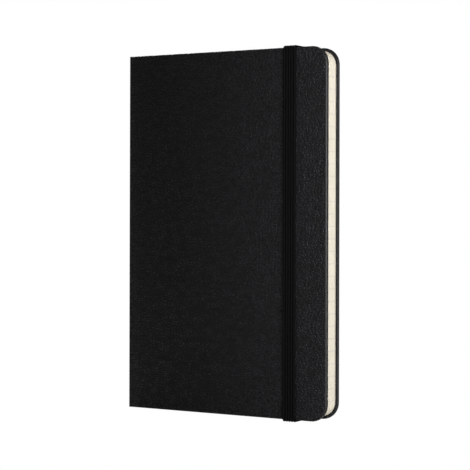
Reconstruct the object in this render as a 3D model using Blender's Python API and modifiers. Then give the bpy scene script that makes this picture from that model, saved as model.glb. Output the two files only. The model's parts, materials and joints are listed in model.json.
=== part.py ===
"""Pocket notebook with hard covers, sewn page block, back pocket and elastic closure band.

Metres, +Z up. The notebook stands on its tail: X runs from the spine (-X) to the fore edge (+X),
the front cover faces -Y and the back cover +Y. Z = 0 is the lowest point of the band.
"""

import math

import bmesh
import bpy
from mathutils import Matrix

# Case
COVER_WIDTH = 0.115
COVER_HEIGHT = 0.180
CORNER_RADIUS = 0.0084
BOARD_THICKNESS = 0.0018
SKIN_THICKNESS = 0.00025
TURN_IN_WIDTH = 0.012
EDGE_ROUNDING = 0.0004
ENDPAPER_THICKNESS = 0.00015
SPINE_CORNER_RADIUS = 0.001
STIFFENER_THICKNESS = 0.0007
LINING_THICKNESS = 0.00025

# Page block
SIGNATURE_COUNT = 12
TURNING_SIGNATURES = 4
SIGNATURE_THICKNESS = 0.00062
FORE_EDGE_SQUARE = 0.0012
HEAD_SQUARE = 0.0015
FOLD_WIDTH = 0.0075
THREAD_STATIONS = 4
THREAD_RADIUS = 0.0002
HEADBAND_RADIUS = 0.0006
RIBBON_WIDTH = 0.006
RIBBON_THICKNESS = 0.00025
RIBBON_AFTER = 8

# Pocket inside the back cover
POCKET_WIDTH = 0.088
POCKET_THICKNESS = 0.00025
POCKET_MARGIN = 0.004
GUSSET_WIDTH = 0.012
GUSSET_THICKNESS = 0.00012

# Elastic band
BAND_WIDTH = 0.007
BAND_THICKNESS = 0.00085
BAND_FROM_FORE_EDGE = 0.0202
BAND_BEND_RADIUS = 0.0004
BAND_WRAP_LENGTH = 0.0045
SLIT_FROM_EDGE = 0.013
SLIT_CLEARANCE = 0.0002
TAB_LENGTH = 0.008
SEAT_DEPTH = 0.00005

# Clearances
LAYER_GAP = 0.00004
SIDE_GAP = 0.0001
HINGE_OFFSET = 0.00015

ARC_STEPS = 8
BEND_STEPS = 4

# Planes along X
spine_x = -COVER_WIDTH / 2
fore_x = COVER_WIDTH / 2
stiffener_x = spine_x + SKIN_THICKNESS + LAYER_GAP
hinge_x = stiffener_x + STIFFENER_THICKNESS + LAYER_GAP * 2
lining_x = hinge_x + SIDE_GAP
fold_x = lining_x + LINING_THICKNESS + 2 * THREAD_RADIUS + 2 * LAYER_GAP
leaf_x = fold_x + FOLD_WIDTH + SIDE_GAP
page_fore_x = fore_x - FORE_EDGE_SQUARE
board_x = hinge_x + SIDE_GAP
board_fore_x = fore_x - SKIN_THICKNESS - LAYER_GAP
band_x = fore_x - BAND_FROM_FORE_EDGE

# Planes along Z
tail_z = BAND_THICKNESS + SIDE_GAP
head_z = tail_z + COVER_HEIGHT
page_tail_z = tail_z + HEAD_SQUARE
page_head_z = head_z - HEAD_SQUARE

# Planes along Y: the layers are stacked from the front cover to the back one
cover_thickness = SKIN_THICKNESS + BOARD_THICKNESS + ENDPAPER_THICKNESS + 2 * LAYER_GAP
signature_pitch = SIGNATURE_THICKNESS + LAYER_GAP
block_thickness = (
    2 * (ENDPAPER_THICKNESS + LAYER_GAP)
    + SIGNATURE_COUNT * signature_pitch
    + RIBBON_THICKNESS
    + LAYER_GAP
)
pocket_depth = POCKET_THICKNESS + GUSSET_THICKNESS + 2 * LAYER_GAP
case_thickness = 2 * cover_thickness + 2 * LAYER_GAP + block_thickness + pocket_depth
front_y = -case_thickness / 2
back_y = case_thickness / 2
block_front_y = front_y + cover_thickness + LAYER_GAP
block_back_y = block_front_y + block_thickness

leaf_axis_x = leaf_x - 0.002
band_front_y = front_y - LAYER_GAP
band_back_y = back_y + LAYER_GAP


def clear_scene():
    for thing in list(bpy.data.objects):
        bpy.data.objects.remove(thing, do_unlink=True)


def new_collection(name):
    made = bpy.data.collections.new(name)
    bpy.context.scene.collection.children.link(made)
    return made


def new_material(name, color, roughness):
    made = bpy.data.materials.new(name)
    made.use_nodes = True
    shader = made.node_tree.nodes["Principled BSDF"]
    shader.inputs["Base Color"].default_value = (*color, 1.0)
    shader.inputs["Roughness"].default_value = roughness
    shader.inputs["Metallic"].default_value = 0.0
    return made


clear_scene()
notebook = new_collection("pocket_notebook")
cutters = new_collection("cutters")

leatherette = new_material("leatherette", (0.012, 0.012, 0.014), 0.55)
board = new_material("grey_board", (0.25, 0.22, 0.19), 0.9)
paper = new_material("cream_paper", (0.80, 0.74, 0.62), 0.8)
card = new_material("pocket_card", (0.78, 0.72, 0.60), 0.8)
elastic = new_material("elastic", (0.006, 0.006, 0.007), 0.9)
cloth = new_material("binding_cloth", (0.60, 0.56, 0.50), 0.9)
thread = new_material("sewing_thread", (0.75, 0.72, 0.66), 0.8)
ribbon = new_material("satin_ribbon", (0.010, 0.010, 0.012), 0.4)


def arc(center_u, center_v, radius, start_degrees, end_degrees, steps):
    """Points along an arc, ends included."""
    points = []
    for step in range(steps + 1):
        angle = math.radians(start_degrees + (end_degrees - start_degrees) * step / steps)
        points.append((center_u + radius * math.cos(angle), center_v + radius * math.sin(angle)))
    return points


def extruded(name, outline, depth, material, turn, place):
    """A flat outline as a filled 2D curve, given its depth, turned, placed and made a mesh."""
    curve = bpy.data.curves.new(name, "CURVE")
    curve.dimensions = "2D"
    curve.fill_mode = "BOTH"
    curve.extrude = depth / 2
    spline = curve.splines.new("POLY")
    spline.points.add(len(outline) - 1)
    for point, (u, v) in zip(spline.points, outline):
        point.co = (u, v, 0.0, 1.0)
    spline.use_cyclic_u = True
    guide = bpy.data.objects.new(name + "_guide", curve)
    notebook.objects.link(guide)
    guide.matrix_world = Matrix.Translation(place) @ turn
    bpy.context.view_layer.update()
    graph = bpy.context.evaluated_depsgraph_get()
    mesh = bpy.data.meshes.new_from_object(guide.evaluated_get(graph))
    mesh.name = name
    shape = bmesh.new()
    shape.from_mesh(mesh)
    bmesh.ops.remove_doubles(shape, verts=shape.verts, dist=1e-6)
    bmesh.ops.recalc_face_normals(shape, faces=shape.faces)
    shape.to_mesh(mesh)
    shape.free()
    made = bpy.data.objects.new(name, mesh)
    made.matrix_world = guide.matrix_world
    made.data.materials.clear()
    made.data.materials.append(material)
    notebook.objects.link(made)
    bpy.data.objects.remove(guide, do_unlink=True)
    return made


UPRIGHT = Matrix.Rotation(math.radians(90), 4, "X")
SIDEWAYS = Matrix.Rotation(math.radians(90), 4, "Z") @ UPRIGHT
FLAT = Matrix.Identity(4)


def leaf_outline(left, right, bottom, top, radius):
    """A page or cover outline: square at the spine, rounded at the fore edge."""
    if radius <= 0:
        return [(left, bottom), (right, bottom), (right, top), (left, top)]
    return (
        [(left, bottom)]
        + arc(right - radius, bottom + radius, radius, -90, 0, ARC_STEPS)
        + arc(right - radius, top - radius, radius, 0, 90, ARC_STEPS)
        + [(left, top)]
    )


def leaf(name, left, right, bottom, top, near_y, thickness, radius, material):
    outline = leaf_outline(left, right, bottom, top, radius)
    return extruded(name, outline, thickness, material, UPRIGHT, (0, near_y + thickness / 2, 0))


def box(name, low, high, material):
    outline = leaf_outline(low[0], high[0], low[2], high[2], 0)
    return extruded(name, outline, high[1] - low[1], material, UPRIGHT, (0, (low[1] + high[1]) / 2, 0))


def boolean(target, other, operation):
    cutters.objects.link(other)
    notebook.objects.unlink(other)
    other.hide_render = True
    other.display_type = "WIRE"
    modifier = target.modifiers.new(operation.lower() + "_" + other.name, "BOOLEAN")
    modifier.operation = operation
    modifier.object = other


def rounded(target, width):
    modifier = target.modifiers.new("rounding", "BEVEL")
    modifier.width = width
    modifier.segments = 2
    modifier.limit_method = "ANGLE"
    modifier.angle_limit = math.radians(40)


# One cover is worked out as a front cover; side = -1 faces it to the front, +1 to the back.
def span(side, outer, inner):
    """(near y, thickness) of a layer between two depths below the cover's outer face."""
    ends = sorted((side * (case_thickness / 2 - outer), side * (case_thickness / 2 - inner)))
    return ends[0], ends[1] - ends[0]


board_outer = SKIN_THICKNESS + LAYER_GAP
board_inner = board_outer + BOARD_THICKNESS
rebate = SKIN_THICKNESS + LAYER_GAP
board_radius = CORNER_RADIUS - SKIN_THICKNESS - LAYER_GAP


def make_board(name, side):
    """Grey board with a rebate round its three free edges, into which the turned-in skin is pressed."""
    edge = SKIN_THICKNESS + LAYER_GAP
    near, thick = span(side, board_outer, board_inner - rebate)
    made = leaf(
        name, board_x, board_fore_x, tail_z + edge, head_z - edge, near, thick, board_radius, board
    )
    inset = TURN_IN_WIDTH + SIDE_GAP
    near, thick = span(side, board_inner - 2 * rebate, board_inner)
    raised = leaf(
        name + "_raised",
        board_x,
        fore_x - inset,
        tail_z + inset,
        head_z - inset,
        near,
        thick,
        0,
        board,
    )
    boolean(made, raised, "UNION")
    return made


def make_skin(name, side):
    """Leatherette wrapped over the board: an outer sheet, three edges and the turned-in flaps."""
    near, thick = span(side, 0, board_inner)
    made = leaf(name, board_x, fore_x, tail_z, head_z, near, thick, CORNER_RADIUS, leatherette)
    rounded(made, EDGE_ROUNDING)
    past = board_x - 0.002
    near, thick = span(side, SKIN_THICKNESS, board_inner - SKIN_THICKNESS)
    hollow = leaf(
        name + "_hollow",
        past,
        fore_x - SKIN_THICKNESS,
        tail_z + SKIN_THICKNESS,
        head_z - SKIN_THICKNESS,
        near,
        thick,
        CORNER_RADIUS - SKIN_THICKNESS,
        leatherette,
    )
    near, thick = span(side, board_inner - 2 * SKIN_THICKNESS, board_inner + 0.001)
    window = leaf(
        name + "_window",
        past,
        fore_x - TURN_IN_WIDTH,
        tail_z + TURN_IN_WIDTH,
        head_z - TURN_IN_WIDTH,
        near,
        thick,
        0,
        leatherette,
    )
    boolean(made, hollow, "DIFFERENCE")
    boolean(made, window, "DIFFERENCE")
    return made


def make_pastedown(name, side):
    near, thick = span(side, board_inner + LAYER_GAP, cover_thickness)
    return leaf(
        name,
        board_x,
        page_fore_x,
        page_tail_z,
        page_head_z,
        near,
        thick,
        CORNER_RADIUS - FORE_EDGE_SQUARE,
        paper,
    )


def make_spine():
    """The case's spine: a skin bent round both long corners, with a card strip inside it."""
    outer = SPINE_CORNER_RADIUS
    inner = outer - SKIN_THICKNESS
    corner_x = spine_x + outer
    outline = (
        [(hinge_x, back_y)]
        + arc(corner_x, back_y - outer, outer, 90, 180, BEND_STEPS)
        + arc(corner_x, front_y + outer, outer, 180, 270, BEND_STEPS)
        + [(hinge_x, front_y), (hinge_x, front_y + SKIN_THICKNESS)]
        + arc(corner_x, front_y + outer, inner, 270, 180, BEND_STEPS)
        + arc(corner_x, back_y - outer, inner, 180, 90, BEND_STEPS)
        + [(hinge_x, back_y - SKIN_THICKNESS)]
    )
    outline = [point for index, point in enumerate(outline) if point != outline[index - 1]]
    middle_z = (head_z + tail_z) / 2
    skin = extruded("spine_skin", outline, COVER_HEIGHT, leatherette, FLAT, (0, 0, middle_z))
    margin = outer
    strip = box(
        "spine_stiffener",
        (stiffener_x, front_y + margin, tail_z + SIDE_GAP),
        (stiffener_x + STIFFENER_THICKNESS, back_y - margin, head_z - SIDE_GAP),
        board,
    )
    lining = box(
        "spine_lining",
        (lining_x, block_front_y, page_tail_z + TURN_IN_WIDTH),
        (lining_x + LINING_THICKNESS, block_back_y, page_head_z - TURN_IN_WIDTH),
        cloth,
    )
    return [skin, strip, lining]


def rod_along_y(name, radius, x, z, material):
    bpy.ops.mesh.primitive_cylinder_add(
        vertices=12,
        radius=radius,
        depth=block_thickness,
        location=(x, (block_front_y + block_back_y) / 2, z),
        rotation=(math.radians(90), 0, 0),
    )
    made = bpy.context.active_object
    made.name = name
    made.data.name = name
    made.data.materials.append(material)
    for owner in list(made.users_collection):
        owner.objects.unlink(made)
    notebook.objects.link(made)
    made.data.shade_smooth()
    made.data.set_sharp_from_angle(angle=math.radians(40))
    return made


def make_binding():
    """Sewing along the folds, and a headband at each end of the block's spine."""
    made = []
    thread_x = fold_x - LAYER_GAP - THREAD_RADIUS
    for station in range(THREAD_STATIONS):
        share = (station + 1) / (THREAD_STATIONS + 1)
        z = page_tail_z + share * (page_head_z - page_tail_z)
        made.append(rod_along_y(f"sewing_thread_{station + 1}", THREAD_RADIUS, thread_x, z, thread))
    band_center_x = fold_x + HEADBAND_RADIUS + SIDE_GAP
    clear = HEADBAND_RADIUS + SIDE_GAP
    made.append(rod_along_y("head_band", HEADBAND_RADIUS, band_center_x, page_head_z + clear, cloth))
    made.append(rod_along_y("tail_band", HEADBAND_RADIUS, band_center_x, page_tail_z - clear, cloth))
    return made


def page(name, left, near, thickness, material):
    return leaf(
        name,
        left,
        page_fore_x,
        page_tail_z,
        page_head_z,
        near,
        thickness,
        CORNER_RADIUS - FORE_EDGE_SQUARE,
        material,
    )


def make_block():
    """Flyleaves and signatures, front to back. The first few signatures turn past their sewn folds."""
    moving = {}
    near = block_front_y
    moving["front_flyleaf"] = [page("front_flyleaf", leaf_x, near, ENDPAPER_THICKNESS, paper)]
    near += ENDPAPER_THICKNESS + LAYER_GAP
    for number in range(1, SIGNATURE_COUNT + 1):
        name = f"signature_{number:02d}"
        if number <= TURNING_SIGNATURES:
            moving[name] = [page(name, leaf_x, near, SIGNATURE_THICKNESS, paper)]
            box(
                name + "_fold",
                (fold_x, near, page_tail_z),
                (fold_x + FOLD_WIDTH, near + SIGNATURE_THICKNESS, page_head_z),
                paper,
            )
        else:
            page(name, fold_x, near, SIGNATURE_THICKNESS, paper)
        near += signature_pitch
        if number == RIBBON_AFTER:
            box(
                "ribbon_marker",
                (fold_x + FOLD_WIDTH, near, page_tail_z + HEAD_SQUARE),
                (fold_x + FOLD_WIDTH + RIBBON_WIDTH, near + RIBBON_THICKNESS, page_head_z),
                ribbon,
            )
            near += RIBBON_THICKNESS + LAYER_GAP
    moving["back_flyleaf"] = [page("back_flyleaf", leaf_x, near, ENDPAPER_THICKNESS, paper)]
    return moving


def make_pocket():
    """A card panel on two folded gussets, open towards the spine."""
    panel_y = block_back_y + LAYER_GAP
    gusset_y = panel_y + POCKET_THICKNESS + LAYER_GAP
    right = page_fore_x - POCKET_MARGIN
    left = right - POCKET_WIDTH
    bottom = page_tail_z + POCKET_MARGIN
    top = page_head_z - POCKET_MARGIN
    panel = leaf("pocket_panel", left, right, bottom, top, panel_y, POCKET_THICKNESS, 0, card)
    gussets = []
    for name, low, high in (
        ("pocket_gusset_tail", bottom, bottom + GUSSET_WIDTH),
        ("pocket_gusset_head", top - GUSSET_WIDTH, top),
    ):
        gussets.append(box(name, (left, gusset_y, low), (right, gusset_y + GUSSET_THICKNESS, high), cloth))
    return [panel], gussets, right


def mirrored_in_height(outline):
    middle = (head_z + tail_z) / 2
    return [(y, 2 * middle - z) for y, z in reversed(outline)]


def band_pieces():
    """The elastic: a strap down the front, a wrap over each end, and a fixed end held in the back board."""
    half = BAND_WIDTH / 2
    outer = BAND_BEND_RADIUS + BAND_THICKNESS
    over_z = head_z + SIDE_GAP
    leg_z = over_z - BAND_WRAP_LENGTH
    front_in = band_front_y
    back_in = band_back_y
    inner_r = BAND_BEND_RADIUS
    wrap = (
        [(front_in - BAND_THICKNESS, leg_z), (front_in, leg_z)]
        + arc(front_in + inner_r, over_z - inner_r, inner_r, 180, 90, BEND_STEPS)
        + arc(back_in - inner_r, over_z - inner_r, inner_r, 90, 0, BEND_STEPS)
        + [(back_in, leg_z), (back_in + BAND_THICKNESS, leg_z)]
        + arc(back_in - inner_r, over_z - inner_r, outer, 0, 90, BEND_STEPS)
        + arc(front_in + inner_r, over_z - inner_r, outer, 90, 180, BEND_STEPS)
    )
    slit_z = head_z - SLIT_FROM_EDGE
    board_face = back_y - board_inner
    tab_y = board_face + SIDE_GAP
    anchor_z = leg_z - SIDE_GAP
    anchor = [
        (back_in + BAND_THICKNESS, anchor_z),
        (back_in, anchor_z),
        (back_in, slit_z),
        (tab_y, slit_z),
        (tab_y, slit_z - TAB_LENGTH),
        (tab_y + BAND_THICKNESS, slit_z - TAB_LENGTH),
        (tab_y + BAND_THICKNESS, slit_z - BAND_THICKNESS),
        (back_in + BAND_THICKNESS, slit_z - BAND_THICKNESS),
    ]
    place = (band_x, 0, 0)
    strap = box(
        "band_strap",
        (band_x - half, front_in - BAND_THICKNESS, tail_z + head_z - leg_z + SIDE_GAP),
        (band_x + half, front_in, leg_z - SIDE_GAP),
        elastic,
    )
    wraps = [
        extruded("band_head_wrap", wrap, BAND_WIDTH, elastic, SIDEWAYS, place),
        extruded("band_tail_wrap", mirrored_in_height(wrap), BAND_WIDTH, elastic, SIDEWAYS, place),
    ]
    anchors = [
        extruded("band_anchor_head", anchor, BAND_WIDTH, elastic, SIDEWAYS, place),
        extruded("band_anchor_tail", mirrored_in_height(anchor), BAND_WIDTH, elastic, SIDEWAYS, place),
    ]
    return [strap] + wraps, anchors


def cut_band_seats(back_board, back_skin):
    """Slits for the band's ends, a recess for each glued tab, and the shallow line where the band lies."""
    half = BAND_WIDTH / 2 + SLIT_CLEARANCE
    board_face = back_y - board_inner
    for end in ("head", "tail"):
        sign = 1 if end == "head" else -1
        edge = head_z if end == "head" else tail_z
        slit = edge - sign * SLIT_FROM_EDGE
        low, high = sorted((slit + sign * SLIT_CLEARANCE, slit - sign * (BAND_THICKNESS + SLIT_CLEARANCE)))
        for target in (back_board, back_skin):
            hole = box(
                f"{target.name}_slit_{end}",
                (band_x - half, board_face - 0.001, low),
                (band_x + half, back_y + 0.001, high),
                board,
            )
            boolean(target, hole, "DIFFERENCE")
        low, high = sorted((slit + sign * SLIT_CLEARANCE, slit - sign * (TAB_LENGTH + SLIT_CLEARANCE)))
        recess = box(
            f"tab_recess_{end}",
            (band_x - half, board_face - 0.001, low),
            (band_x + half, board_face + 2 * SIDE_GAP + BAND_THICKNESS, high),
            board,
        )
        boolean(back_board, recess, "DIFFERENCE")
    seat = box(
        "band_seat",
        (band_x - half, back_y - SEAT_DEPTH, tail_z - 0.001),
        (band_x + half, back_y + 0.001, head_z + 0.001),
        leatherette,
    )
    boolean(back_skin, seat, "DIFFERENCE")


def hang_on(axis_name, place, pieces, parent=None):
    """An empty on the joint's axis, with the pieces that turn about it as its children."""
    axis = bpy.data.objects.new(axis_name, None)
    axis.empty_display_type = "SINGLE_ARROW"
    axis.empty_display_size = COVER_HEIGHT
    axis.location = place
    notebook.objects.link(axis)
    bpy.context.view_layer.update()
    if parent:
        axis.parent = parent
        axis.matrix_parent_inverse = parent.matrix_world.inverted()
        bpy.context.view_layer.update()
    for piece in pieces:
        piece.parent = axis
        piece.matrix_parent_inverse = axis.matrix_world.inverted()
    return axis


def main():
    make_spine()
    make_binding()
    moving = make_block()
    front_cover = [
        make_board("front_board", -1),
        make_skin("front_skin", -1),
        make_pastedown("front_pastedown", -1),
    ]
    back_board = make_board("back_board", 1)
    back_skin = make_skin("back_skin", 1)
    back_pastedown = make_pastedown("back_pastedown", 1)
    cut_band_seats(back_board, back_skin)
    panel, gussets, pocket_x = make_pocket()
    band, anchors = band_pieces()

    front_hinge = (hinge_x, front_y - HINGE_OFFSET, tail_z)
    back_hinge = (hinge_x, back_y + HINGE_OFFSET, tail_z)
    front_leaf_axis = (leaf_axis_x, block_front_y - SIDE_GAP, tail_z)
    back_leaf_axis = (leaf_axis_x, block_back_y + SIDE_GAP, tail_z)
    hang_on("front_cover_axis", front_hinge, front_cover)
    back_axis = hang_on(
        "back_cover_axis", back_hinge, [back_board, back_skin, back_pastedown] + anchors + gussets
    )
    for name, pieces in moving.items():
        place = back_leaf_axis if name == "back_flyleaf" else front_leaf_axis
        hang_on(name + "_axis", place, pieces)
    hang_on("pocket_axis", (pocket_x, block_back_y, tail_z), panel, back_axis)
    hang_on("band_axis", (band_x, BAND_THICKNESS / 2 + SIDE_GAP, tail_z), band, back_axis)


main()
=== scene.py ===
import json
import math
import random

import bmesh
import bpy
from mathutils import Matrix, Vector


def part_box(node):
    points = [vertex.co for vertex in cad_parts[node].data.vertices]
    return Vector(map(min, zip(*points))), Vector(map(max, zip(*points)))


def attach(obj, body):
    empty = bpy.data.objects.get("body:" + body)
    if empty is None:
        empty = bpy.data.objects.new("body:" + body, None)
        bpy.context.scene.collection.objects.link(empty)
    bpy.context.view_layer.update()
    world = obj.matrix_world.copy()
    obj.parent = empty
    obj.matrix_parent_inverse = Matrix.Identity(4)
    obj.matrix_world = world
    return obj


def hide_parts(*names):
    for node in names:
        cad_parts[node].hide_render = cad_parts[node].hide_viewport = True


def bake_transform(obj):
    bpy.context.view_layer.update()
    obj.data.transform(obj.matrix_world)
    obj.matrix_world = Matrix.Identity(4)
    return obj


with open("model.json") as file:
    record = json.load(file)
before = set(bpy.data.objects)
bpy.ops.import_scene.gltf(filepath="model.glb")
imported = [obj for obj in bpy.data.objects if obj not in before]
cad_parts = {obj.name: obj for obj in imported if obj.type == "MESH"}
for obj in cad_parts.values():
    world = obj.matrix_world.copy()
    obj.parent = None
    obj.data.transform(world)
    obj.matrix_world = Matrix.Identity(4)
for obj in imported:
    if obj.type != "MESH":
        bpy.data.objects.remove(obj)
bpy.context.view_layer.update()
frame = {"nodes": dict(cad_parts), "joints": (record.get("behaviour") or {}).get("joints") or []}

mm = 0.001
skinLow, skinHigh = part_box("front_skin")
backLow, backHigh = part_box("back_skin")
spineLow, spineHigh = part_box("spine_skin")
pasteLow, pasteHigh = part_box("front_pastedown")
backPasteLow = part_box("back_pastedown")[0]
strapLow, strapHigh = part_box("band_strap")
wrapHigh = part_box("band_head_wrap")[1]
headZ = skinHigh.z
tailZ = skinLow.z
hingeX = spineHigh.x
bandX = (strapLow.x + strapHigh.x) / 2
joints = {joint["name"]: joint for joint in frame["joints"]}


def newGroup(name, inputs, outputs):
    group = bpy.data.node_groups.new(name, "ShaderNodeTree")
    for label, kind, value in inputs:
        socket = group.interface.new_socket(label, in_out="INPUT", socket_type=kind)
        socket.default_value = value
    for label, kind in outputs:
        group.interface.new_socket(label, in_out="OUTPUT", socket_type=kind)
    group.nodes.new("NodeGroupInput").name = "in"
    group.nodes.new("NodeGroupOutput").name = "out"
    return group


def mathNode(tree, operation, first, second=0.0, third=0.0):
    node = tree.nodes.new("ShaderNodeMath")
    node.operation = operation
    for socket, value in zip(node.inputs, (first, second, third)):
        if hasattr(value, "is_linked"):
            tree.links.new(value, socket)
        else:
            socket.default_value = value
    return node.outputs[0]


def objectAxes(tree):
    coords = tree.nodes.new("ShaderNodeTexCoord")
    split = tree.nodes.new("ShaderNodeSeparateXYZ")
    tree.links.new(coords.outputs["Object"], split.inputs[0])
    return coords.outputs["Object"], split.outputs


def noiseNode(tree, vector, scale, detail=4.0, roughness=0.5):
    node = tree.nodes.new("ShaderNodeTexNoise")
    tree.links.new(vector, node.inputs["Vector"])
    if hasattr(scale, "is_linked"):
        tree.links.new(scale, node.inputs["Scale"])
    else:
        node.inputs["Scale"].default_value = scale
    node.inputs["Detail"].default_value = detail
    node.inputs["Roughness"].default_value = roughness
    return node.outputs["Fac"]


def colourMix(tree, factor, first, second):
    node = tree.nodes.new("ShaderNodeMix")
    node.data_type = "RGBA"
    if hasattr(factor, "is_linked"):
        tree.links.new(factor, node.inputs[0])
    else:
        node.inputs[0].default_value = factor
    for socket, value in ((node.inputs[6], first), (node.inputs[7], second)):
        if hasattr(value, "is_linked"):
            tree.links.new(value, socket)
        else:
            socket.default_value = (*value[:3], 1.0)
    return node.outputs[2]


grainShape = {
    "flatten": (0.62, 0.62, 1.0),
    "wanderScale": 0.5,
    "wanderReach": (0.0007, 0.0007, 0.0007),
    "patchScale": 0.45,
    "patchContrast": 4.5,
    "fineScale": 3.0,
    "broadPerMetre": 30.0,
    "riseHeight": 0.7,
    "fineHeight": 0.2,
    "patchHeight": 0.5,
    "broadTint": 0.5,
    "patchTint": 0.75,
}


def grainGroup():
    group = newGroup(
        "leatherGrain",
        [
            ("Valley", "NodeSocketColor", (0.002, 0.002, 0.002, 1)),
            ("Pebble", "NodeSocketColor", (0.010, 0.010, 0.012, 1)),
            ("Pebbles Per Metre", "NodeSocketFloat", 1300.0),
            ("Crease Width", "NodeSocketFloat", 0.2),
            ("Roughness Low", "NodeSocketFloat", 0.45),
            ("Roughness High", "NodeSocketFloat", 0.62),
        ],
        [("Color", "NodeSocketColor"), ("Roughness", "NodeSocketFloat"), ("Height", "NodeSocketFloat")],
    )
    given = group.nodes["in"].outputs
    vector = objectAxes(group)[0]
    perMetre = given["Pebbles Per Metre"]
    flattened = group.nodes.new("ShaderNodeMapping")  # pebbles lie wider than they are tall
    flattened.inputs["Scale"].default_value = grainShape["flatten"]
    group.links.new(vector, flattened.inputs["Vector"])
    wander = group.nodes.new("ShaderNodeTexNoise")
    group.links.new(flattened.outputs[0], wander.inputs["Vector"])
    group.links.new(mathNode(group, "MULTIPLY", perMetre, grainShape["wanderScale"]), wander.inputs["Scale"])
    wander.inputs["Detail"].default_value = 3.0
    pushed = group.nodes.new("ShaderNodeVectorMath")
    pushed.operation = "MULTIPLY_ADD"
    group.links.new(wander.outputs["Color"], pushed.inputs[0])
    pushed.inputs[1].default_value = grainShape["wanderReach"]
    group.links.new(flattened.outputs[0], pushed.inputs[2])
    cells = group.nodes.new("ShaderNodeTexVoronoi")
    cells.feature = "DISTANCE_TO_EDGE"
    group.links.new(pushed.outputs[0], cells.inputs["Vector"])
    group.links.new(perMetre, cells.inputs["Scale"])
    rise = group.nodes.new("ShaderNodeMapRange")
    rise.interpolation_type = "SMOOTHSTEP"
    group.links.new(cells.outputs["Distance"], rise.inputs["Value"])
    group.links.new(given["Crease Width"], rise.inputs["From Max"])
    patchScale = mathNode(group, "MULTIPLY", perMetre, grainShape["patchScale"])
    patches = noiseNode(group, pushed.outputs[0], patchScale, 4.0, 0.6)
    fine = noiseNode(group, vector, mathNode(group, "MULTIPLY", perMetre, grainShape["fineScale"]), 3.0)
    broad = noiseNode(group, vector, grainShape["broadPerMetre"], 3.0)
    centred = mathNode(group, "SUBTRACT", patches, 0.5)
    uneven = mathNode(group, "MULTIPLY_ADD", centred, grainShape["patchContrast"], 0.5)
    patchHeight = mathNode(group, "MULTIPLY", uneven, grainShape["patchHeight"])
    relief = mathNode(group, "MULTIPLY_ADD", rise.outputs[0], grainShape["riseHeight"], patchHeight)
    height = mathNode(group, "MULTIPLY_ADD", fine, grainShape["fineHeight"], relief)
    patchTint = mathNode(group, "MULTIPLY", uneven, grainShape["patchTint"])
    tint = mathNode(group, "MULTIPLY_ADD", broad, grainShape["broadTint"], patchTint)
    # the creases between pebbles fall to the near-black valley colour, painted shade in the creases; the
    # patch and broad tints are random tone
    share = mathNode(group, "MULTIPLY", rise.outputs[0], tint)
    capped = group.nodes.new("ShaderNodeClamp")
    group.links.new(share, capped.inputs["Value"])
    share = capped.outputs[0]
    colour = colourMix(group, share, given["Valley"], given["Pebble"])
    group.links.new(colour, group.nodes["out"].inputs["Color"])
    spread = mathNode(group, "SUBTRACT", given["Roughness High"], given["Roughness Low"])
    sunk = mathNode(group, "SUBTRACT", 1.0, share)
    rough = mathNode(group, "MULTIPLY_ADD", sunk, spread, given["Roughness Low"])
    group.links.new(rough, group.nodes["out"].inputs["Roughness"])
    group.links.new(height, group.nodes["out"].inputs["Height"])
    return group


def fibreGroup():
    group = newGroup(
        "paperFibre",
        [
            ("Sheet", "NodeSocketColor", (0.8, 0.74, 0.62, 1)),
            ("Fleck", "NodeSocketColor", (0.74, 0.68, 0.56, 1)),
            ("Fibres Per Metre", "NodeSocketFloat", 900.0),
        ],
        [("Color", "NodeSocketColor"), ("Height", "NodeSocketFloat")],
    )
    given = group.nodes["in"].outputs
    vector = objectAxes(group)[0]
    stretched = group.nodes.new("ShaderNodeMapping")
    stretched.inputs["Scale"].default_value = (1.0, 3.0, 0.35)
    group.links.new(vector, stretched.inputs["Vector"])
    fibres = noiseNode(group, stretched.outputs[0], given["Fibres Per Metre"], 5.0, 0.65)
    cloud = noiseNode(group, vector, 60.0, 2.0)
    share = mathNode(group, "MULTIPLY", mathNode(group, "ADD", fibres, cloud), 0.5)
    colour = colourMix(group, share, given["Sheet"], given["Fleck"])
    group.links.new(colour, group.nodes["out"].inputs["Color"])
    group.links.new(fibres, group.nodes["out"].inputs["Height"])
    return group


def rulingGroup():
    group = newGroup(
        "ruledLines",
        [
            ("Paper", "NodeSocketColor", (0.8, 0.74, 0.62, 1)),
            ("Ink", "NodeSocketColor", (0.4, 0.4, 0.42, 1)),
            ("First Line", "NodeSocketFloat", 0.165),
            ("Last Line", "NodeSocketFloat", 0.008),
            ("Pitch", "NodeSocketFloat", 0.006),
            ("Line Width", "NodeSocketFloat", 0.00022),
            ("Strength", "NodeSocketFloat", 0.7),
        ],
        [("Color", "NodeSocketColor"), ("Mask", "NodeSocketFloat")],
    )
    given = group.nodes["in"].outputs
    axes = objectAxes(group)[1]
    fallen = mathNode(group, "SUBTRACT", given["First Line"], axes["Z"])
    below = mathNode(group, "DIVIDE", fallen, given["Pitch"])
    nearest = mathNode(group, "ROUND", below)
    apart = mathNode(group, "ABSOLUTE", mathNode(group, "SUBTRACT", below, nearest))
    off = mathNode(group, "MULTIPLY", apart, given["Pitch"])
    onLine = mathNode(group, "LESS_THAN", off, mathNode(group, "MULTIPLY", given["Line Width"], 0.5))
    started = mathNode(group, "GREATER_THAN", below, -0.5)
    going = mathNode(group, "GREATER_THAN", axes["Z"], given["Last Line"])
    drawn = mathNode(group, "MULTIPLY", onLine, started)
    mask = mathNode(group, "MULTIPLY", drawn, mathNode(group, "MULTIPLY", going, given["Strength"]))
    colour = colourMix(group, mask, given["Paper"], given["Ink"])
    group.links.new(colour, group.nodes["out"].inputs["Color"])
    group.links.new(mask, group.nodes["out"].inputs["Mask"])
    return group


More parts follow.
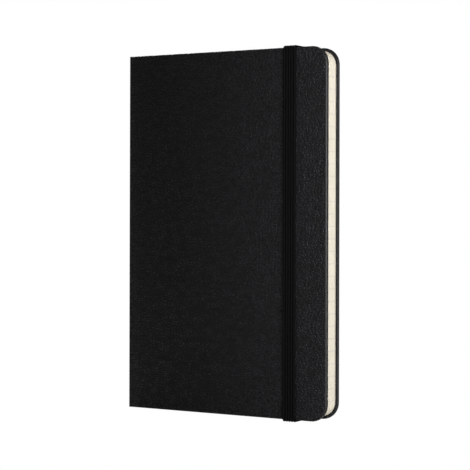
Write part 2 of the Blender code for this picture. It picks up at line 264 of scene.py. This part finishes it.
def weaveGroup():
    group = newGroup(
        "wovenThreads",
        [
            ("Thread", "NodeSocketColor", (0.008, 0.008, 0.009, 1)),
            ("Gap", "NodeSocketColor", (0.002, 0.002, 0.002, 1)),
            ("Along Pitch", "NodeSocketFloat", 0.0004),
            ("Across Pitch", "NodeSocketFloat", 0.0006),
        ],
        [("Color", "NodeSocketColor"), ("Height", "NodeSocketFloat")],
    )
    given = group.nodes["in"].outputs
    vector, axes = objectAxes(group)
    run = mathNode(group, "ADD", axes["Z"], axes["Y"])  # holds its pitch where the cloth turns over an edge
    waves = []
    for distance, pitch in ((run, given["Along Pitch"]), (axes["X"], given["Across Pitch"])):
        turns = mathNode(group, "DIVIDE", mathNode(group, "MULTIPLY", distance, 2 * math.pi), pitch)
        waves.append(mathNode(group, "SINE", turns))
    along, across = waves
    crossing = mathNode(group, "MULTIPLY_ADD", mathNode(group, "MULTIPLY", along, across), 0.5, 0.5)
    fuzz = noiseNode(group, vector, 5200.0, 3.0)
    height = mathNode(group, "MULTIPLY_ADD", fuzz, 0.5, crossing)
    # the gap colour where the threads dip is painted shade between the threads
    share = mathNode(group, "MULTIPLY_ADD", crossing, 0.7, mathNode(group, "MULTIPLY", fuzz, 0.3))
    colour = colourMix(group, share, given["Gap"], given["Thread"])
    group.links.new(colour, group.nodes["out"].inputs["Color"])
    group.links.new(height, group.nodes["out"].inputs["Height"])
    return group


groups = {"grain": grainGroup(), "fibre": fibreGroup(), "ruling": rulingGroup(), "weave": weaveGroup()}


def newMaterial(name, roughness=0.6, specular=0.5):
    material = bpy.data.materials.new(name)
    material.use_nodes = True
    shader = material.node_tree.nodes["Principled BSDF"]
    shader.inputs["Roughness"].default_value = roughness
    shader.inputs["Specular IOR Level"].default_value = specular
    return material, material.node_tree, shader


def placeGroup(tree, group, values):
    node = tree.nodes.new("ShaderNodeGroup")
    node.node_tree = groups[group]
    for label, value in values.items():
        node.inputs[label].default_value = value
    return node


def bumpOf(tree, shader, height, strength, distance):
    bump = tree.nodes.new("ShaderNodeBump")
    bump.inputs["Strength"].default_value = strength
    bump.inputs["Distance"].default_value = distance
    tree.links.new(height, bump.inputs["Height"])
    tree.links.new(bump.outputs[0], shader.inputs["Normal"])


leather = {
    "valley": (0.0002, 0.0001, 0.0004, 1),
    "pebble": (0.0126, 0.0113, 0.0184, 1),
    # lighter colour for the rounded arrises, a painted highlight
    "edgeWearAndHighlight": (0.016, 0.015, 0.015, 1),
    "highlightPaintShare": 0.7,
    "wearPolish": 0.26,
    "wearFlattens": 0.94,
    "edgeMaskFullAt": 0.07,
    "pebblesPerMetre": 880.0,
    "creaseWidth": 0.30,
    "roughness": (0.42, 0.80),
    "bumpDistance": 0.00052,
    "bumpStrength": 1.0,
}


def leatherMaterial():
    material, tree, shader = newMaterial("blackLeatherette", specular=0.5)
    grain = placeGroup(
        tree,
        "grain",
        {
            "Valley": leather["valley"],
            "Pebble": leather["pebble"],
            "Pebbles Per Metre": leather["pebblesPerMetre"],
            "Crease Width": leather["creaseWidth"],
            "Roughness Low": leather["roughness"][0],
            "Roughness High": leather["roughness"][1],
        },
    )
    wearAndHighlightMask = tree.nodes.new("ShaderNodeAttribute")
    wearAndHighlightMask.attribute_name = "wearAndHighlightMask"
    edgeWearAndHighlight = wearAndHighlightMask.outputs["Fac"]
    # the arrises are mixed toward a lighter colour, a painted highlight along the rounded edges; the lower
    # roughness and flatter grain that follow are edge wear
    paintedHighlightShare = mathNode(tree, "MULTIPLY", edgeWearAndHighlight, leather["highlightPaintShare"])
    colour = colourMix(tree, paintedHighlightShare, grain.outputs["Color"], leather["edgeWearAndHighlight"])
    tree.links.new(colour, shader.inputs["Base Color"])
    drop = mathNode(tree, "MULTIPLY", edgeWearAndHighlight, leather["wearPolish"])
    tree.links.new(mathNode(tree, "SUBTRACT", grain.outputs["Roughness"], drop), shader.inputs["Roughness"])
    relief = mathNode(tree, "SUBTRACT", 1.0, mathNode(tree, "MULTIPLY", edgeWearAndHighlight, leather["wearFlattens"]))
    height = mathNode(tree, "MULTIPLY", grain.outputs["Height"], relief)
    bumpOf(tree, shader, height, leather["bumpStrength"], leather["bumpDistance"])
    return material


paper = {
    "sheet": (0.83, 0.775, 0.660, 1),
    "fleck": (0.79, 0.735, 0.620, 1),
    "ink": (0.33, 0.33, 0.35, 1),
    "topMargin": 13 * mm,
    "bottomMargin": 7 * mm,
    "pitch": 6 * mm,
    "lineWidth": 0.28 * mm,
    "lineStrength": 0.75,
    "edgeLineWidth": 0.8 * mm,
    "edgeLineStrength": 0.10,
    "bump": (0.25, 0.00002),
}


def paperMaterial(name, lineStrength, lineWidth):
    material, tree, shader = newMaterial(name, roughness=0.78, specular=0.25)
    fibre = placeGroup(tree, "fibre", {"Sheet": paper["sheet"], "Fleck": paper["fleck"]})
    colour = fibre.outputs["Color"]
    if lineStrength:
        lines = placeGroup(
            tree,
            "ruling",
            {
                "Ink": paper["ink"],
                "First Line": pasteHigh.z - paper["topMargin"],
                "Last Line": pasteLow.z + paper["bottomMargin"],
                "Pitch": paper["pitch"],
                "Line Width": lineWidth,
                "Strength": lineStrength,
            },
        )
        tree.links.new(colour, lines.inputs["Paper"])
        colour = lines.outputs["Color"]
    tree.links.new(colour, shader.inputs["Base Color"])
    bumpOf(tree, shader, fibre.outputs["Height"], *paper["bump"])
    return material


def wovenMaterial(name, thread, gap, along, across, roughness, depth, sheen=0.0):
    material, tree, shader = newMaterial(name, roughness=roughness, specular=0.3)
    values = {"Thread": thread, "Gap": gap, "Along Pitch": along, "Across Pitch": across}
    weave = placeGroup(tree, "weave", values)
    tree.links.new(weave.outputs["Color"], shader.inputs["Base Color"])
    shader.inputs["Sheen Weight"].default_value = sheen
    bumpOf(tree, shader, weave.outputs["Height"], 0.5, depth)
    return material


board = {"Sheet": (0.27, 0.25, 0.22, 1), "Fleck": (0.14, 0.13, 0.12, 1), "Fibres Per Metre": 1600.0}


def boardMaterial():
    material, tree, shader = newMaterial("greyBoard", roughness=0.9, specular=0.2)
    fibre = placeGroup(tree, "fibre", board)
    tree.links.new(fibre.outputs["Color"], shader.inputs["Base Color"])
    bumpOf(tree, shader, fibre.outputs["Height"], 0.5, 0.00005)
    return material


elastic = {
    "thread": (0.0128, 0.0134, 0.0138, 1),
    "threadShadow": (0.0010, 0.0010, 0.0010, 1),
    "paintedGrooveShade": (0.0, 0.0, 0.0, 1),
    "picksPitch": 0.62 * mm,
    "roughness": 0.8,
    "specular": 0.08,
    "bump": (0.5, 0.00012),
}


def elasticMaterial():
    material, tree, shader = newMaterial("ribbedElastic", elastic["roughness"], elastic["specular"])
    weave = placeGroup(
        tree,
        "weave",
        {
            "Thread": elastic["thread"],
            "Gap": elastic["threadShadow"],
            "Along Pitch": elastic["picksPitch"],
            "Across Pitch": elastic["picksPitch"],
        },
    )
    rib = tree.nodes.new("ShaderNodeAttribute")
    rib.attribute_name = "rib"
    # the grooves between the ribs are painted black by the rib crown share, painted shade between the ribs
    colour = colourMix(tree, rib.outputs["Fac"], elastic["paintedGrooveShade"], weave.outputs["Color"])
    tree.links.new(colour, shader.inputs["Base Color"])
    bumpOf(tree, shader, weave.outputs["Height"], *elastic["bump"])
    return material


materials = {
    "leatherette": leatherMaterial(),
    "page": paperMaterial("ruledPaper", paper["lineStrength"], paper["lineWidth"]),
    "pageEdge": paperMaterial("ruledPageEdge", paper["edgeLineStrength"], paper["edgeLineWidth"]),
    "plainPaper": paperMaterial("plainCreamPaper", 0.0, 0.0),
    "elastic": elasticMaterial(),
    "cloth": wovenMaterial(
        "bindingCloth", thread=(0.62, 0.59, 0.52, 1), gap=(0.30, 0.28, 0.24, 1),
        along=0.5 * mm, across=0.5 * mm, roughness=0.9, depth=0.0001,
    ),
    "thread": wovenMaterial(
        "sewingThread", thread=(0.70, 0.68, 0.62, 1), gap=(0.35, 0.33, 0.30, 1),
        along=0.3 * mm, across=0.2 * mm, roughness=0.8, depth=0.00005,
    ),
    "ribbon": wovenMaterial(
        "satinRibbon", thread=(0.012, 0.012, 0.013, 1), gap=(0.006, 0.006, 0.006, 1),
        along=0.3 * mm, across=0.2 * mm, roughness=0.35, depth=0.00003, sheen=0.1,
    ),
    "board": boardMaterial(),
}
print("materials made")


def keep(bm, name, mats, smoothDegrees=35):
    mesh = bpy.data.meshes.new(name)
    bm.to_mesh(mesh)
    bm.free()
    made = bpy.data.objects.new(name, mesh)
    bpy.context.scene.collection.objects.link(made)
    for material in mats:
        mesh.materials.append(materials[material])
    mesh.shade_smooth()
    mesh.set_sharp_from_angle(angle=math.radians(smoothDegrees))
    return made


def addSlab(bm, low, high, cornerRadius=0.0, cornerSteps=12):
    # a flat slab in the XZ plane, thick along Y, whose two fore-edge corners are rounded
    grown = bmesh.ops.create_grid(bm, x_segments=1, y_segments=1, size=0.5)
    verts = grown["verts"]
    turn = Matrix.Rotation(math.radians(90), 4, "X")
    size = Matrix.Diagonal((high[0] - low[0], 1.0, high[2] - low[2], 1.0))
    centre = Matrix.Translation(((low[0] + high[0]) / 2, low[1], (low[2] + high[2]) / 2))
    bmesh.ops.transform(bm, matrix=centre @ size @ turn, verts=verts)
    face = verts[0].link_faces[0]
    if cornerRadius:
        corners = [v for v in verts if v.co.x > (low[0] + high[0]) / 2]
        cut = bmesh.ops.bevel(
            bm, geom=corners, offset=cornerRadius, offset_type="OFFSET", affect="VERTICES",
            segments=cornerSteps, profile=0.5, material=-1, clamp_overlap=False,
        )
        face = cut["verts"][0].link_faces[0]
    pushed = bmesh.ops.extrude_face_region(bm, geom=[face])
    moved = [g for g in pushed["geom"] if isinstance(g, bmesh.types.BMVert)]
    bmesh.ops.translate(bm, vec=(0, high[1] - low[1], 0), verts=moved)
    around = {f for v in moved for f in v.link_faces} | {face}
    bmesh.ops.recalc_face_normals(bm, faces=list(around))
    return list(around)


def sliceAll(bm, place, normal, dist=1e-7):
    geom = bm.verts[:] + bm.edges[:] + bm.faces[:]
    bmesh.ops.bisect_plane(bm, geom=geom, plane_co=place, plane_no=normal, dist=dist)


def growChain(bm, chain):
    grown = bmesh.ops.extrude_edge_only(bm, edges=chain)["geom"]
    verts = [g for g in grown if isinstance(g, bmesh.types.BMVert)]
    edges = [g for g in grown if isinstance(g, bmesh.types.BMEdge) and all(v in verts for v in g.verts)]
    return verts, edges


def extrudeChain(bm, chain, vector, steps):
    for _ in range(steps):
        verts, chain = growChain(bm, chain)
        bmesh.ops.translate(bm, vec=Vector(vector) / steps, verts=verts)
    return chain


def spinChain(bm, chain, centre, degrees, steps):
    turn = Matrix.Rotation(math.radians(degrees / steps), 3, "X")
    for _ in range(steps):
        verts, chain = growChain(bm, chain)
        bmesh.ops.rotate(bm, cent=centre, matrix=turn, verts=verts)
    return chain


def bevelEdges(bm, edges, offset, segments):
    bmesh.ops.bevel(
        bm, geom=list(edges), offset=offset, offset_type="OFFSET", affect="EDGES",
        segments=segments, profile=0.5, material=-1, clamp_overlap=True,
    )


def markWearAndHighlight(bm):
    # arrises and corners, where a surface turns between two axes, wear first; the same mask also paints them
    # lighter as a painted highlight
    wearAndHighlightMask = bm.verts.layers.float.new("wearAndHighlightMask")
    bm.normal_update()
    for vert in bm.verts:
        turned = 1 - max(abs(part) for part in vert.normal)
        vert[wearAndHighlightMask] = min(1.0, turned / leather["edgeMaskFullAt"])


def facing(bm, direction, limit=0.99):
    bm.normal_update()
    return [f for f in bm.faces if f.normal.dot(Vector(direction)) > limit]


def widest(faces):
    return max(faces, key=lambda f: f.calc_area())


def insetFaces(bm, faces, thickness):
    bmesh.ops.inset_region(bm, faces=faces, thickness=thickness, use_even_offset=True, use_boundary=False)


coverWrap = {
    "cornerRadius": 8.4 * mm,
    "cornerSteps": 16,
    "outerRounding": 0.75 * mm,
    "innerRounding": 0.35 * mm,
    "roundingSteps": 4,
    "turnIn": 12 * mm,
    "thickness": 0.24 * mm,
}


slit = {"z": headZ - 13.4 * mm, "halfHeight": 0.6 * mm, "sideGap": 0.15 * mm, "nearFace": 0.01 * mm}


def makeCoverSkin(name, side, body, low, high):
    bm = bmesh.new()
    addSlab(bm, low, high, coverWrap["cornerRadius"], coverWrap["cornerSteps"])
    bmesh.ops.delete(bm, geom=facing(bm, (-1, 0, 0)), context="FACES")
    outer = widest(facing(bm, (0, side, 0)))
    outerEdges = [e for e in outer.edges if not e.is_boundary]
    bevelEdges(bm, outerEdges, coverWrap["outerRounding"], coverWrap["roundingSteps"])
    inner = widest(facing(bm, (0, -side, 0)))
    innerEdges = [e for e in inner.edges if not e.is_boundary]
    bevelEdges(bm, innerEdges, coverWrap["innerRounding"], coverWrap["roundingSteps"])
    inner = widest(facing(bm, (0, -side, 0)))
    insetFaces(bm, [inner], coverWrap["turnIn"])
    inner = widest(facing(bm, (0, -side, 0)))
    bmesh.ops.delete(bm, geom=[inner], context="FACES")
    if side > 0:
        cutSlits(bm, high.y)
    bmesh.ops.recalc_face_normals(bm, faces=bm.faces)
    markWearAndHighlight(bm)
    made = keep(bm, name, ["leatherette"])
    wall = made.modifiers.new("wall", "SOLIDIFY")
    wall.thickness = coverWrap["thickness"]
    wall.offset = -1.0
    wall.use_even_offset = True
    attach(made, body)
    return made


def cutSlits(bm, faceY):
    # the two slits through which the elastic enters the back cover
    half = (strapHigh.x - strapLow.x) / 2 + slit["sideGap"]
    middle = (headZ + tailZ) / 2
    for sign in (-1, 1):
        slitZ = middle + sign * (slit["z"] - middle)
        for place, normal in (
            ((bandX - half, 0, 0), (1, 0, 0)),
            ((bandX + half, 0, 0), (1, 0, 0)),
            ((0, 0, slitZ - slit["halfHeight"]), (0, 0, 1)),
            ((0, 0, slitZ + slit["halfHeight"]), (0, 0, 1)),
        ):
            flat = [f for f in bm.faces if abs(f.calc_center_median().y - faceY) < slit["nearFace"]]
            geom = flat + [e for f in flat for e in f.edges] + [v for f in flat for v in f.verts]
            bmesh.ops.bisect_plane(bm, geom=list(set(geom)), plane_co=place, plane_no=normal, dist=1e-7)
        hole = [
            f for f in bm.faces
            if abs(f.calc_center_median().y - faceY) < slit["nearFace"]
            and abs(f.calc_center_median().x - bandX) < half
            and abs(f.calc_center_median().z - slitZ) < slit["halfHeight"]
        ]
        bmesh.ops.delete(bm, geom=hole, context="FACES")


frontSkin = makeCoverSkin("frontCoverSkin", -1, "front_cover", skinLow, skinHigh)
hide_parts("front_skin")
backSkin = makeCoverSkin("backCoverSkin", 1, "back_cover", backLow, backHigh)
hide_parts("back_skin")
print("cover skins made")

spineWrap = {"cornerRadius": 1.0 * mm, "endRounding": 0.3 * mm, "endInset": 0.35 * mm, "thickness": 0.24 * mm}


def makeSpineSkin():
    bm = bmesh.new()
    bmesh.ops.create_cube(bm, size=1.0)
    size = spineHigh - spineLow
    grow = Matrix.Translation((spineLow + spineHigh) / 2) @ Matrix.Diagonal((*size, 1.0))
    bmesh.ops.transform(bm, matrix=grow, verts=bm.verts)
    bmesh.ops.delete(bm, geom=facing(bm, (1, 0, 0)), context="FACES")
    longEdges = [
        e for e in bm.edges
        if abs(e.verts[0].co.x - spineLow.x) < 1e-6 and abs(e.verts[1].co.x - spineLow.x) < 1e-6
        and abs(e.verts[0].co.z - e.verts[1].co.z) > size.z / 2
    ]
    bevelEdges(bm, longEdges, spineWrap["cornerRadius"], 8)
    ends = facing(bm, (0, 0, 1)) + facing(bm, (0, 0, -1))
    rims = {e for f in ends for e in f.edges if not e.is_boundary}
    bevelEdges(bm, rims, spineWrap["endRounding"], 3)
    ends = facing(bm, (0, 0, 1)) + facing(bm, (0, 0, -1))
    insetFaces(bm, ends, spineWrap["endInset"])
    ends = [widest(facing(bm, (0, 0, sign))) for sign in (1, -1)]
    bmesh.ops.delete(bm, geom=ends, context="FACES")
    bmesh.ops.recalc_face_normals(bm, faces=bm.faces)
    markWearAndHighlight(bm)
    made = keep(bm, "spineSkin", ["leatherette"])
    wall = made.modifiers.new("wall", "SOLIDIFY")
    wall.thickness = spineWrap["thickness"]
    wall.offset = -1.0
    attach(made, "block")
    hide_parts("spine_skin")
    return made


makeSpineSkin()
print("spine skin made")

endpaper = {"cornerSteps": 12, "cornerRadius": 7.45 * mm}


def makeEndpaper(name, node, body):
    low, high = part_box(node)
    bm = bmesh.new()
    addSlab(bm, low, high, endpaper["cornerRadius"], endpaper["cornerSteps"])
    made = keep(bm, name, ["plainPaper"])
    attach(made, body)
    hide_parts(node)
    return made


makeEndpaper("frontPastedown", "front_pastedown", "front_cover")
makeEndpaper("backPastedown", "back_pastedown", "back_cover")


pages = {
    "leavesPerSection": 8,
    "leafShare": 0.95,
    "cornerRadius": 7.45 * mm,
    "cornerSteps": 8,
    "bendFrom": 0.0,
    "bendTo": 22 * mm,
    "bendCuts": 16,
    "unevenness": 0.02 * mm,
}
rng = random.Random(4)


def markPageEdges(bm):
    # faces that look along the sheet take the edge finish
    bm.normal_update()
    for face in bm.faces:
        face.material_index = 0 if abs(face.normal.y) > 0.7 else 1


def addLeaves(bm, low, high, count):
    pitch = (high.y - low.y) / count
    for index in range(count):
        trim = rng.uniform(0, pages["unevenness"])
        near = low.y + index * pitch
        leafLow = (low.x, near, low.z + rng.uniform(0, pages["unevenness"]))
        leafTop = high.z - rng.uniform(0, pages["unevenness"])
        leafHigh = (high.x - trim, near + pitch * pages["leafShare"], leafTop)
        addSlab(bm, leafLow, leafHigh, pages["cornerRadius"], pages["cornerSteps"])


def makeFixedSection(number):
    node = f"signature_{number:02d}"
    low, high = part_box(node)
    # the leaves close over the ribbon, which is narrower than they are
    ribbonMiddle = (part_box("signature_08")[1].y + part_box("signature_09")[0].y) / 2
    if number == 8:
        high.y = ribbonMiddle
    if number == 9:
        low.y = ribbonMiddle
    bm = bmesh.new()
    addLeaves(bm, low, high, pages["leavesPerSection"])
    markPageEdges(bm)
    made = keep(bm, f"section{number:02d}Sheets", ["page", "pageEdge"])
    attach(made, "block")
    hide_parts(node)
    return made


def bendCuts(bm, axisX):
    for index in range(pages["bendCuts"] + 1):
        x = axisX + pages["bendFrom"] + index * (pages["bendTo"] - pages["bendFrom"]) / pages["bendCuts"]
        sliceAll(bm, (x, 0, 0), (1, 0, 0))


def makeTurningLeaves(name, node, joint, count, mats, foldNode=None):
    low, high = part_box(node)
    low.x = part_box(foldNode or "signature_01_fold")[0].x
    bm = bmesh.new()
    addLeaves(bm, low, high, count)
    axisX = joints[joint]["pos_m"][0]
    bendCuts(bm, axisX)
    if len(mats) > 1:
        markPageEdges(bm)
    made = keep(bm, name, mats)
    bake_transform(made)
    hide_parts(*([node, foldNode] if foldNode else [node]))
    return made


for number in range(5, 13):
    makeFixedSection(number)
for number in range(1, 5):
    node = f"signature_{number:02d}"
    makeTurningLeaves(
        f"section{number:02d}Sheets", node, f"section_{number}_turn",
        pages["leavesPerSection"], ["page", "pageEdge"], f"{node}_fold",
    )
makeTurningLeaves("frontFlyleaf", "front_flyleaf", "front_flyleaf_turn", 1, ["plainPaper"])
makeTurningLeaves("backFlyleaf", "back_flyleaf", "back_flyleaf_turn", 1, ["plainPaper"])
print("pages made")

fold = {"reach": 6 * mm, "steps": 30, "inset": 0.6 * mm, "fullness": 0.8, "blendShare": 0.98}


def makeHingeFold(name, side):
    coverY = pasteHigh.y if side < 0 else backPasteLow.y
    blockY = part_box("front_flyleaf")[0].y if side < 0 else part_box("back_flyleaf")[1].y
    middle = (coverY + blockY) / 2
    radius = abs(coverY - blockY) / 2 * fold["fullness"]
    startX = hingeX + fold["inset"] + fold["reach"]
    foldX = hingeX + fold["inset"]
    bm = bmesh.new()
    low = bm.verts.new((startX, middle - side * radius, pasteLow.z))
    high = bm.verts.new((startX, middle - side * radius, pasteHigh.z))
    edge = bm.edges.new((low, high))
    tip, tipEdge = growChain(bm, [edge])
    bmesh.ops.translate(bm, vec=(foldX - startX, 0, 0), verts=tip)
    bmesh.ops.spin(
        bm, geom=tip + tipEdge, cent=(foldX, middle, 0), axis=(0, 0, 1),
        angle=side * math.pi, steps=fold["steps"], use_duplicate=False,
    )
    bm.verts.ensure_lookup_table()
    farEdge = max(
        (e for e in bm.edges if e.is_boundary and abs(e.verts[0].co.z - e.verts[1].co.z) > 0.01),
        key=lambda e: side * e.verts[0].co.y - (abs(e.verts[0].co.x - startX) < 1e-6),
    )
    extrudeChain(bm, [farEdge], (fold["reach"], 0, 0), 1)
    bmesh.ops.recalc_face_normals(bm, faces=bm.faces)
    made = keep(bm, name, ["plainPaper"])
    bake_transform(made)
    return made


makeHingeFold("frontHingePaper", -1)
makeHingeFold("backHingePaper", 1)
print("hinge papers made")

band = {
    "ribs": 5,
    "stepsPerRib": 6,
    "ribHeight": 0.32 * mm,
    "thickness": 0.42 * mm,
    "edgeDrop": 0.10 * mm,
    "bendRadius": 0.5 * mm,
    "bendSteps": 6,
    "straightSteps": 24,
    "backSteps": 4,
    "edgeSteps": 12,
    "slitSteps": 4,
    "enterDepth": 1.2 * mm,
    "smoothDegrees": 60,
}


def makeBand():
    width = strapHigh.x - strapLow.x
    count = band["ribs"] * band["stepsPerRib"]
    outFront = strapLow.y
    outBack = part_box("band_anchor_head")[1].y
    radius = band["bendRadius"] + (strapHigh.y - strapLow.y)
    middle = (headZ + tailZ) / 2
    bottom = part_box("band_tail_wrap")[0].z
    top = wrapHigh.z
    slitTail = 2 * middle - slit["z"]
    bm = bmesh.new()
    rib = bm.verts.layers.float.new("rib")
    verts = []
    for index in range(count + 1):
        share = index / count
        crown = abs(math.sin(math.pi * band["ribs"] * share))
        edgeDrop = band["edgeDrop"] if index in (0, count) else 0.0
        faceY = outBack + band["ribHeight"] * (crown - 1) - edgeDrop
        vert = bm.verts.new((bandX + (share - 0.5) * width, faceY, 0))
        # the crown share later paints shade into the grooves between the ribs
        vert[rib] = crown
        verts.append(vert)
    chain = [bm.edges.new(pair) for pair in zip(verts, verts[1:])]
    bmesh.ops.translate(bm, vec=(0, 0, slitTail), verts=verts)
    # down the back to the tail, round under it, up the front, over the head and down to the other slit
    start = list(chain)
    edges = extrudeChain(bm, chain, (0, 0, bottom + radius - slitTail), band["backSteps"])
    edges = spinChain(bm, edges, (0, outBack - radius, bottom + radius), -90, band["bendSteps"])
    edges = extrudeChain(bm, edges, (0, outFront + 2 * radius - outBack, 0), band["edgeSteps"])
    edges = spinChain(bm, edges, (0, outFront + radius, bottom + radius), -90, band["bendSteps"])
    edges = extrudeChain(bm, edges, (0, 0, top - bottom - 2 * radius), band["straightSteps"])
    edges = spinChain(bm, edges, (0, outFront + radius, top - radius), -90, band["bendSteps"])
    edges = extrudeChain(bm, edges, (0, outBack - outFront - 2 * radius, 0), band["edgeSteps"])
    edges = spinChain(bm, edges, (0, outBack - radius, top - radius), -90, band["bendSteps"])
    edges = extrudeChain(bm, edges, (0, 0, slit["z"] - (top - radius)), band["backSteps"])
    # both ends turn into their slits
    inner = (strapHigh.y - strapLow.y) * 0.5
    edges = spinChain(bm, edges, (0, outBack - inner, slit["z"]), -90, band["slitSteps"])
    extrudeChain(bm, edges, (0, -band["enterDepth"], 0), 1)
    start = spinChain(bm, start, (0, outBack - inner, slitTail), 90, band["slitSteps"])
    extrudeChain(bm, start, (0, -band["enterDepth"], 0), 1)
    bmesh.ops.recalc_face_normals(bm, faces=bm.faces)
    made = keep(bm, "elasticBand", ["elastic"], band["smoothDegrees"])
    wall = made.modifiers.new("wall", "SOLIDIFY")
    wall.thickness = band["thickness"]
    wall.offset = -1.0
    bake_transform(made)
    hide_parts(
        "band_strap", "band_head_wrap", "band_tail_wrap", "band_anchor_head", "band_anchor_tail"
    )
    return made


makeBand()
print("elastic band made")


def makePocketPanel():
    low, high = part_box("pocket_panel")
    bm = bmesh.new()
    addSlab(bm, low, high)
    made = keep(bm, "pocketPanel", ["plainPaper"])
    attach(made, "pocket")
    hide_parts("pocket_panel")
    return made


gusset = {"foldSteps": 6, "cuts": 10}


def makeGusset(name, node, headSide):
    # a folded strip: one half lies on the back pastedown, the other under the panel
    low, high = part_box(node)
    bm = bmesh.new()
    outerZ = high.z if headSide else low.z
    innerZ = low.z if headSide else high.z
    corners = [bm.verts.new((x, low.y, outerZ)) for x in (low.x, high.x)]
    edge = bm.edges.new(corners)
    edges = extrudeChain(bm, [edge], (0, (high.y - low.y) / 2, innerZ - outerZ), gusset["foldSteps"])
    extrudeChain(bm, edges, (0, (high.y - low.y) / 2, outerZ - innerZ), gusset["foldSteps"])
    for index in range(1, gusset["cuts"]):
        x = low.x + (high.x - low.x) * index / gusset["cuts"]
        sliceAll(bm, (x, 0, 0), (1, 0, 0))
    bmesh.ops.recalc_face_normals(bm, faces=bm.faces)
    made = keep(bm, name, ["cloth"])
    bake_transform(made)
    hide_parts(node)
    return made


makePocketPanel()
makeGusset("pocketGussetHead", "pocket_gusset_head", True)
makeGusset("pocketGussetTail", "pocket_gusset_tail", False)
print("pocket made")

headband = {"wraps": 14, "sides": 16, "ringsPerWrap": 4, "bulge": 0.12, "smoothDegrees": 50}


def makeHeadband(name, node):
    low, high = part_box(node)
    centre = (low + high) / 2
    radius = (high.x - low.x) / 2
    length = high.y - low.y
    bm = bmesh.new()
    bmesh.ops.create_cone(
        bm, cap_ends=True, segments=headband["sides"], radius1=radius, radius2=radius, depth=length
    )
    rings = headband["wraps"] * headband["ringsPerWrap"]
    for index in range(1, rings):
        z = (index / rings - 0.5) * length
        sliceAll(bm, (0, 0, z), (0, 0, 1), 1e-8)
    for vert in bm.verts:
        turns = headband["wraps"] * (vert.co.z / length + 0.5)
        wave = 1 - headband["bulge"] * (0.5 - 0.5 * math.cos(2 * math.pi * turns))
        vert.co.x *= wave
        vert.co.y *= wave
    laid = Matrix.Translation(centre) @ Matrix.Rotation(math.radians(90), 4, "X")
    bmesh.ops.transform(bm, matrix=laid, verts=bm.verts)
    bmesh.ops.recalc_face_normals(bm, faces=bm.faces)
    made = keep(bm, name, ["cloth"], headband["smoothDegrees"])
    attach(made, "block")
    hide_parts(node)
    return made


makeHeadband("headBandRoll", "head_band")
makeHeadband("tailBandRoll", "tail_band")


nodeFinish = {
    "front_board": "board",
    "back_board": "board",
    "spine_stiffener": "board",
    "spine_lining": "cloth",
    "ribbon_marker": "ribbon",
    **{f"sewing_thread_{station}": "thread" for station in range(1, 5)},
}
for node, finish in nodeFinish.items():
    data = frame["nodes"][node].data
    data.materials.clear()
    data.materials.append(materials[finish])
print("carried-over nodes finished")

studio = {
    "floorSize": 12.0,
    "worldGrey": 0.05,
    "floorGrey": 0.85,
    "lights": {
        "key": {"place": (0.80, -0.36, 0.26), "aim": (0.02, 0, 0.10), "size": (0.35, 0.55), "watts": 7.4},
        "fill": {"place": (-0.4, -0.9, 1.35), "aim": (0, 0, 0.09), "size": (0.9, 0.9), "watts": 2.6},
        "back": {"place": (-0.9, 1.3, 0.7), "aim": (0, 0, 0.09), "size": (1.0, 1.0), "watts": 16.0},
    },
    "lens": 120.5,
    "sensor": 36.0,
    "shiftY": -0.0574,
    "cameraPlace": (0.4103, -0.6691, 0.1020),
    "azimuth": 31.38,
    "tilt": 0.09,
    "roll": 0.14,
}


def whiteToCamera(tree, litShader):
    # seen straight on it is plain white, and what it gives to the object stays soft
    light = tree.nodes.new("ShaderNodeLightPath")
    kind = "ShaderNodeBackground" if litShader.type == "BACKGROUND" else "ShaderNodeEmission"
    white = tree.nodes.new(kind)
    white.inputs["Color"].default_value = (1, 1, 1, 1)
    white.inputs["Strength"].default_value = 1.0
    mix = tree.nodes.new("ShaderNodeMixShader")
    tree.links.new(light.outputs["Is Camera Ray"], mix.inputs[0])
    tree.links.new(litShader.outputs[0], mix.inputs[1])
    tree.links.new(white.outputs[0], mix.inputs[2])
    target = next(n for n in tree.nodes if n.type in ("OUTPUT_MATERIAL", "OUTPUT_WORLD"))
    tree.links.new(mix.outputs[0], target.inputs["Surface"])


def makeStudio():
    scene = bpy.context.scene
    scene.view_settings.view_transform = "Standard"
    world = bpy.data.worlds.new("studioWorld")
    world.use_nodes = True
    scene.world = world
    background = world.node_tree.nodes["Background"]
    grey = studio["worldGrey"]
    background.inputs["Color"].default_value = (grey, grey, grey, 1)
    whiteToCamera(world.node_tree, background)

    bm = bmesh.new()
    bmesh.ops.create_grid(bm, x_segments=1, y_segments=1, size=studio["floorSize"] / 2)
    mesh = bpy.data.meshes.new("floor")
    bm.to_mesh(mesh)
    bm.free()
    floor = bpy.data.objects.new("floor", mesh)
    scene.collection.objects.link(floor)
    pale, tree, shader = newMaterial("paleFloor", 0.9, 0.0)
    shader.inputs["Base Color"].default_value = (*[studio["floorGrey"]] * 3, 1)
    whiteToCamera(tree, shader)
    mesh.materials.append(pale)

    for name, facts in studio["lights"].items():
        data = bpy.data.lights.new(name + "Light", "AREA")
        data.shape = "RECTANGLE"
        data.size, data.size_y = facts["size"]
        data.energy = facts["watts"]
        lamp = bpy.data.objects.new(name + "Light", data)
        lamp.location = facts["place"]
        aim = Vector(facts["aim"]) - Vector(facts["place"])
        lamp.rotation_euler = aim.to_track_quat("-Z", "Y").to_euler()
        lamp.visible_camera = False
        scene.collection.objects.link(lamp)

    data = bpy.data.cameras.new("photoCamera")
    data.lens = studio["lens"]
    data.sensor_width = studio["sensor"]
    data.shift_y = studio["shiftY"]
    data.clip_start = 0.01
    camera = bpy.data.objects.new("photoCamera", data)
    azimuth, tilt = math.radians(studio["azimuth"]), math.radians(studio["tilt"])
    gaze = Vector((-math.sin(azimuth) * math.cos(tilt), math.cos(azimuth) * math.cos(tilt), math.sin(tilt)))
    turn = gaze.to_track_quat("-Z", "Y").to_matrix().to_4x4()
    roll = Matrix.Rotation(math.radians(studio["roll"]), 4, "Z")
    camera.matrix_world = Matrix.Translation(studio["cameraPlace"]) @ turn @ roll
    scene.collection.objects.link(camera)
    scene.camera = camera


makeStudio()
print("studio made")
